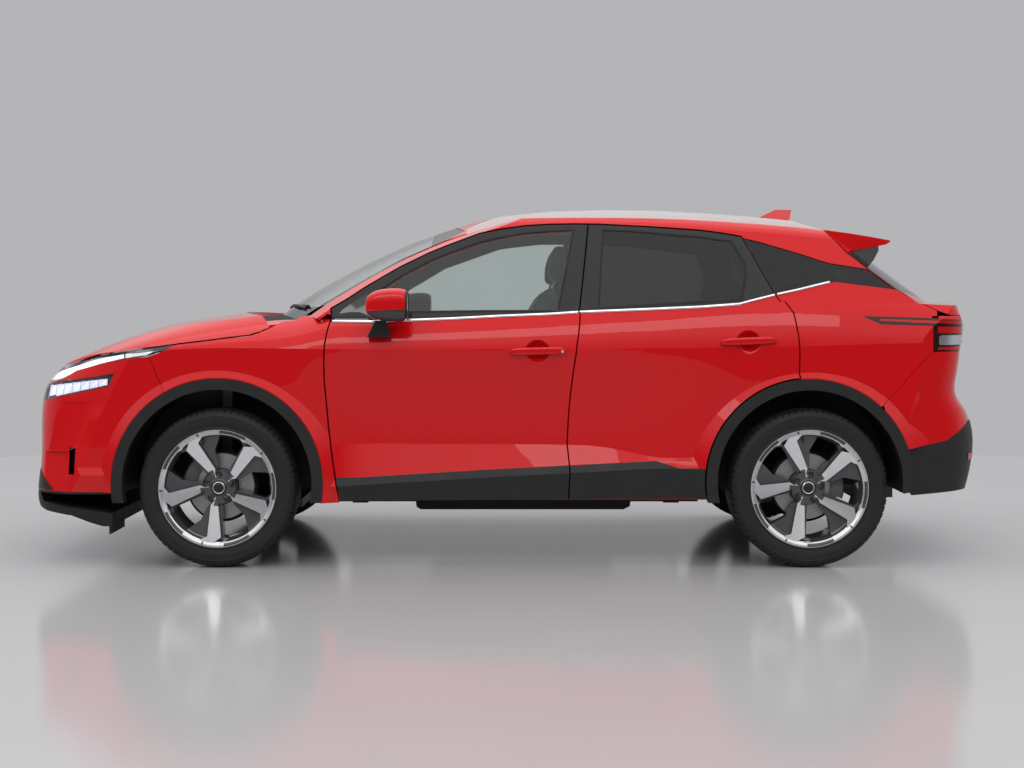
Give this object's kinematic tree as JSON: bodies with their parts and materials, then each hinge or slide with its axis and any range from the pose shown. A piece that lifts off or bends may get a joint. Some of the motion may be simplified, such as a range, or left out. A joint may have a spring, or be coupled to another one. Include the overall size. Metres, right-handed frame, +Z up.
{
  "type": "compact crossover car",
  "caption": "Five-door compact crossover with opening doors, bonnet and tailgate, steered front wheels, turning wheels, roof rails and dark lower cladding.",
  "frame": {"origin": "on the ground under the centre of the body's box", "axes": "+X towards the tail, +Y towards the right side, +Z up"},
  "size_m": [4.4248, 2.0776, 1.6689],
  "materials": {
    "red_paint": "glossy red paint",
    "dark_cladding": "fine grained dark grey plastic",
    "gloss_black": "gloss black plastic",
    "clear_glass": "clear, slightly green",
    "dark_glass": "dark tinted",
    "lamp_clear": "clear lamp cover",
    "lamp_red": "red lamp cover",
    "satin_silver": "satin silver",
    "tyre": "black rubber",
    "wheel_alloy": "machined face with dark painted pockets",
    "underbody_grey": "matt dark underbody",
    "cast_metal": "cast and painted metal",
    "cabin_dark": "soft dark cabin plastic",
    "seat_cloth": "dark woven cloth"
  },
  "bodies": {
    "body": {"arch_linings": "dark_cladding", "bumper_front": "red_paint", "bumper_rear": "red_paint", "cladding_front": "dark_cladding", "cladding_rear": "dark_cladding", "cowl": "gloss_black", "dashboard": "cabin_dark", "engine_and_axles": "cast_metal", "fenders": "red_paint", "floor_pan": "underbody_grey", "grille": "gloss_black", "headlamps": "lamp_clear", "quarter_glasses": "dark_glass", "roof_panel": "red_paint", "roof_rails": "satin_silver", "seats": "seat_cloth", "side_frames": "red_paint", "tail_lamps": "lamp_red", "underbody": "underbody_grey", "windscreen": "clear_glass"},
    "bonnet": {"bonnet": "red_paint"},
    "door_front_left": {"door_front_left": "red_paint", "glass_front_left": "clear_glass", "mirror_cap_left": "red_paint", "mirror_left": "gloss_black", "trim_front_left": "dark_cladding"},
    "door_front_right": {"door_front_right": "red_paint", "glass_front_right": "clear_glass", "mirror_cap_right": "red_paint", "mirror_right": "gloss_black", "trim_front_right": "dark_cladding"},
    "door_rear_left": {"door_rear_left": "red_paint", "glass_rear_left": "dark_glass", "trim_rear_left": "dark_cladding"},
    "door_rear_right": {"door_rear_right": "red_paint", "glass_rear_right": "dark_glass", "trim_rear_right": "dark_cladding"},
    "knuckle_left": {"knuckle_left": "cast_metal"},
    "knuckle_right": {"knuckle_right": "cast_metal"},
    "wheel_front_left": {"rim_front_left": "wheel_alloy", "tyre_front_left": "tyre"},
    "wheel_front_right": {"rim_front_right": "wheel_alloy", "tyre_front_right": "tyre"},
    "wheel_rear_left": {"rim_rear_left": "wheel_alloy", "tyre_rear_left": "tyre"},
    "wheel_rear_right": {"rim_rear_right": "wheel_alloy", "tyre_rear_right": "tyre"},
    "steering_wheel": {"steering_wheel": "cabin_dark"},
    "tailgate": {"tailgate": "red_paint", "tailgate_glass": "dark_glass", "tailgate_lamps": "lamp_red"}
  },
  "joints": [
    {"name": "steer_left", "type": "hinge", "parent": "body", "child": "knuckle_left", "pos_m": [-1.3175, -0.7, 0.358], "axis": [0, 0, 1], "range_deg": [-35, 35]},
    {"name": "wheel_front_left_spin", "type": "hinge", "parent": "knuckle_left", "child": "wheel_front_left", "pos_m": [-1.3175, -0.79, 0.358], "axis": [0, 1, 0], "continuous": true},
    {"name": "wheel_rear_left_spin", "type": "hinge", "parent": "body", "child": "wheel_rear_left", "pos_m": [1.3475, -0.79, 0.358], "axis": [0, 1, 0], "continuous": true},
    {"name": "door_front_left_hinge", "type": "hinge", "parent": "body", "child": "door_front_left", "pos_m": [-0.822, -0.903, 0.7], "axis": [0, 0, -1], "range_deg": [0, 68]},
    {"name": "door_rear_left_hinge", "type": "hinge", "parent": "body", "child": "door_rear_left", "pos_m": [0.283, -0.903, 0.7], "axis": [0, 0, -1], "range_deg": [0, 75]},
    {"name": "steer_right", "type": "hinge", "parent": "body", "child": "knuckle_right", "pos_m": [-1.3175, 0.7, 0.358], "axis": [0, 0, 1], "range_deg": [-35, 35]},
    {"name": "wheel_front_right_spin", "type": "hinge", "parent": "knuckle_right", "child": "wheel_front_right", "pos_m": [-1.3175, 0.79, 0.358], "axis": [0, 1, 0], "continuous": true},
    {"name": "wheel_rear_right_spin", "type": "hinge", "parent": "body", "child": "wheel_rear_right", "pos_m": [1.3475, 0.79, 0.358], "axis": [0, 1, 0], "continuous": true},
    {"name": "door_front_right_hinge", "type": "hinge", "parent": "body", "child": "door_front_right", "pos_m": [-0.822, 0.903, 0.7], "axis": [0, 0, 1], "range_deg": [0, 68]},
    {"name": "door_rear_right_hinge", "type": "hinge", "parent": "body", "child": "door_rear_right", "pos_m": [0.283, 0.903, 0.7], "axis": [0, 0, 1], "range_deg": [0, 75]},
    {"name": "bonnet_hinge", "type": "hinge", "parent": "body", "child": "bonnet", "pos_m": [-0.985, 0, 1.15], "axis": [0, 1, 0], "range_deg": [0, 52]},
    {"name": "tailgate_hinge", "type": "hinge", "parent": "body", "child": "tailgate", "pos_m": [1.48, 0, 1.555], "axis": [0, -1, 0], "range_deg": [0, 78]},
    {"name": "steering_column", "type": "hinge", "parent": "body", "child": "steering_wheel", "pos_m": [-0.48, -0.37, 0.96], "axis": [0.8988, 0, 0.4384], "range_deg": [-490, 490]}
  ],
  "couplings": [
    {"joint": "steer_right", "follows": "steer_left", "ratio": 1},
    {"joint": "steering_column", "follows": "steer_left", "ratio": 14}
  ]
}
